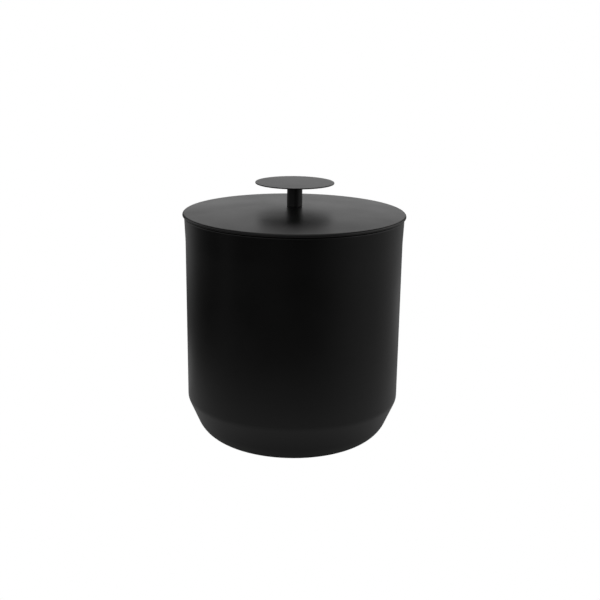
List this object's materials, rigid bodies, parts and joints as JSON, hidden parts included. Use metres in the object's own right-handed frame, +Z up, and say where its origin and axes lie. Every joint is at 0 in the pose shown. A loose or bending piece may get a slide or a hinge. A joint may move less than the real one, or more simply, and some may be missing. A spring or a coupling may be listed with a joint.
{
  "type": "ice bucket",
  "caption": "Round double-wall ice bucket in matte black with a nearly straight wall, a tapered base and a lift-off domed lid with a thin disc knob on a short stem.",
  "frame": {"origin": "centre of the foot ring's underside, on the surface that the bucket stands on", "axes": "+Z up along the bucket's axis; the bucket is round, so +X and +Y are any two directions across it"},
  "size_m": [0.1608, 0.1608, 0.19],
  "materials": {
    "black_powder_coat": "satin",
    "brushed_stainless": "satin",
    "zinc_plated_steel": "satin",
    "stainless_fastener": "satin",
    "insulation_foam": "matte",
    "black_rubber": "matte",
    "black_silicone": "matte",
    "grey_silicone": "matte"
  },
  "bodies": {
    "bucket": {"outer_shell": "black_powder_coat", "inner_liner": "brushed_stainless", "foam_insulation": "insulation_foam", "filling_plug": "black_rubber", "foot_ring": "black_silicone"},
    "lid_seal": {"lid_seal": "grey_silicone"},
    "lid": {"lid_cover": "black_powder_coat", "lid_pan": "brushed_stainless", "lid_insulation": "insulation_foam", "spacer_tube": "zinc_plated_steel", "knob_gasket": "black_silicone", "knob_stem": "black_powder_coat", "knob_disc": "black_powder_coat", "knob_screw": "stainless_fastener", "flat_washer": "stainless_fastener", "lock_washer": "stainless_fastener"}
  },
  "joints": [
    {"name": "lid_lift", "type": "slide", "parent": "bucket", "child": "lid_seal", "axis": [0, 0, 1], "range_m": [0, 0.12]},
    {"name": "lid_turn", "type": "hinge", "parent": "lid_seal", "child": "lid", "pos_m": [0, 0, 0.1666], "axis": [0, 0, 1], "continuous": true}
  ]
}
